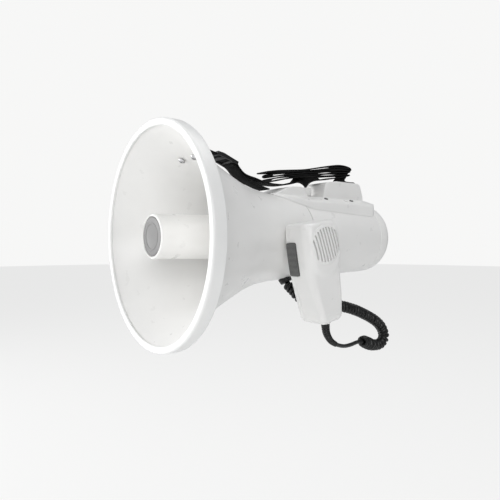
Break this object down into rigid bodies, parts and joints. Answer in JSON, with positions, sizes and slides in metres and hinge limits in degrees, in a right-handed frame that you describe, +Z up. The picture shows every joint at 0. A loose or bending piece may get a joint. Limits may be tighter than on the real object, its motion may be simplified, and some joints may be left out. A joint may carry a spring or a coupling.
{
  "type": "megaphone",
  "caption": "Shoulder megaphone: round reflex horn, cylindrical body with battery drawer, hook-on fist microphone with coiled cord and folded carrying strap.",
  "frame": {"origin": "carry point, on the underside of the body below the balance point, where a hand or the hip holds the megaphone", "axes": "+Y along the horn axis to the rear (the mouth faces -Y), +Z up, +X towards the microphone side"},
  "size_m": [0.23, 0.3465, 0.2571],
  "materials": {
    "shell_plastic": "semi-gloss moulded",
    "rim_plastic": "semi-gloss moulded",
    "badge_silver": "satin silver",
    "dark_plastic": "fine textured",
    "black_plastic": "satin moulded",
    "webbing": "woven webbing",
    "black_rubber": "satin",
    "steel": "nickel plated",
    "zinc_steel": "zinc plated",
    "ferrite": "ground ferrite",
    "phenolic": "moulded phenolic",
    "copper_wire": "enamelled copper",
    "brass_contacts": "plated",
    "circuit_board": "solder resist",
    "cell_jacket": "printed jacket",
    "foam": "open foam"
  },
  "bodies": {
    "housing": {"bell": "shell_plastic", "rim_ring": "rim_plastic", "reflector_horn": "shell_plastic", "nose_badge": "badge_silver", "throat_tube": "shell_plastic", "horn_back": "shell_plastic", "reflector_vane_1": "shell_plastic", "reflector_vane_2": "shell_plastic", "reflector_vane_3": "shell_plastic", "driver_front_plate": "zinc_steel", "diaphragm_gasket": "black_rubber", "diaphragm": "phenolic", "voice_coil": "copper_wire", "top_plate": "zinc_steel", "magnet": "ferrite", "yoke": "zinc_steel", "body_shell": "shell_plastic", "control_housing": "shell_plastic", "lamp_window_1": "dark_plastic", "lamp_window_2": "dark_plastic", "volume_control": "zinc_steel", "amplifier_board": "circuit_board", "heat_sink": "zinc_steel", "capacitor": "cell_jacket", "mic_hook": "shell_plastic", "cord_straight": "black_rubber", "cord_coil": "black_rubber", "cord_socket": "black_rubber", "strap_bracket": "black_plastic", "bracket_screw_1": "steel", "bracket_screw_2": "steel", "strap_front_run": "webbing", "strap_buckle": "black_plastic", "strap_middle_run": "webbing", "strap_bundle": "webbing", "strap_rear_run": "webbing", "strap_anchor": "black_plastic"},
    "drawer": {"battery_cover": "shell_plastic", "battery_magazine": "dark_plastic", "front_contacts": "brass_contacts", "rear_contacts": "brass_contacts", "cell_1": "cell_jacket", "cell_2": "cell_jacket", "cell_3": "cell_jacket", "cell_4": "cell_jacket", "cell_5": "cell_jacket", "cell_6": "cell_jacket"},
    "microphone": {"mic_back_cover": "shell_plastic", "mic_front_shell": "shell_plastic", "mic_grille": "shell_plastic", "mic_capsule": "foam", "mic_stud": "zinc_steel", "mic_screw_1": "zinc_steel", "mic_screw_2": "zinc_steel", "ptt_switch": "dark_plastic", "mic_gland": "shell_plastic", "cord_boot_mic": "black_rubber"},
    "talk_button": {"ptt_button": "dark_plastic"},
    "knob": {"volume_knob": "shell_plastic"},
    "switch": {"mode_switch": "dark_plastic"}
  },
  "joints": [
    {"name": "drawer_slide", "type": "slide", "parent": "housing", "child": "drawer", "axis": [0, 1, 0], "range_m": [0, 0.115]},
    {"name": "microphone_lift", "type": "slide", "parent": "housing", "child": "microphone", "axis": [0, 0, 1], "range_m": [0, 0.03]},
    {"name": "talk_press", "type": "slide", "parent": "microphone", "child": "talk_button", "axis": [0, 0.989, 0.1478], "range_m": [0, 0.002], "stiffness_N_per_m": 800, "springref_m": -0.0015},
    {"name": "volume_turn", "type": "hinge", "parent": "housing", "child": "knob", "pos_m": [0, 0.012, 0.106], "axis": [0, 0, -1], "range_deg": [0, 300]},
    {"name": "mode_slide", "type": "slide", "parent": "housing", "child": "switch", "axis": [0, 1, 0], "range_m": [0, 0.006]}
  ]
}
